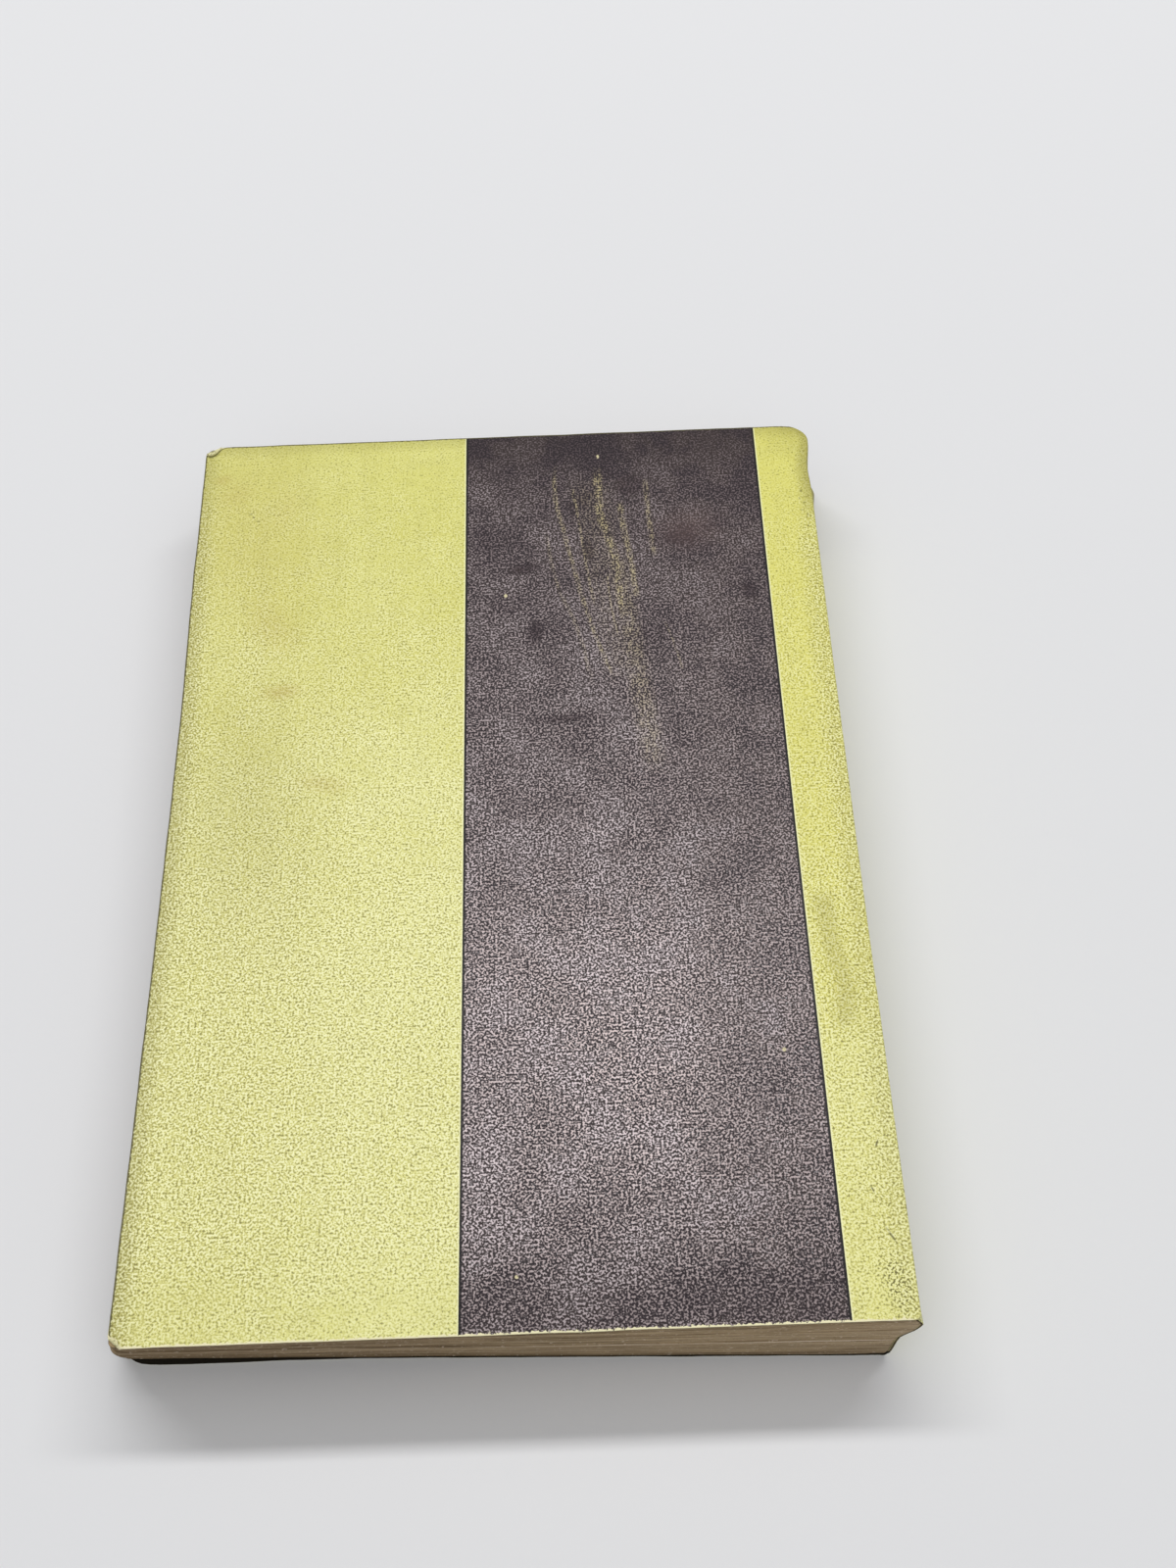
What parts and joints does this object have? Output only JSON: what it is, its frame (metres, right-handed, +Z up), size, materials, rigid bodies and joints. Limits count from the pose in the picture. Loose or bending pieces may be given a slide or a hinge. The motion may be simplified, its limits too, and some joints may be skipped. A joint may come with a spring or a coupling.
{
  "type": "paperback book",
  "caption": "Worn pocket paperback lying flat, its leaf block twisted and its spine leaning, with a card cover in green and a plain dark band; both covers open on their folds",
  "frame": {"origin": "middle of the front cover's outer face, which the book rests on", "axes": "X from the fore edge to the spine, Y from tail to head, Z up through the leaves to the back cover"},
  "size_m": [0.1129, 0.166, 0.0175],
  "materials": {
    "leaves": "trimmed edges of toned wood-pulp paper, matt",
    "cover_card": "printed card with a fine pebbled grain, rubbed at edges and corners"
  },
  "bodies": {
    "book_block": {"text_block": "leaves", "cover_spine": "cover_card"},
    "back_cover_body": {"back_cover": "cover_card"},
    "front_cover_body": {"front_cover": "cover_card"}
  },
  "joints": [
    {"name": "back_cover_fold", "type": "hinge", "parent": "book_block", "child": "back_cover_body", "pos_m": [0.05322, -0.0007, 0.0175], "axis": [-0.0305, 0.9995, 0], "range_deg": [0, 178]},
    {"name": "front_cover_fold", "type": "hinge", "parent": "book_block", "child": "front_cover_body", "pos_m": [0.054, 0, 0], "axis": [0, -1, 0], "range_deg": [0, 178]}
  ]
}
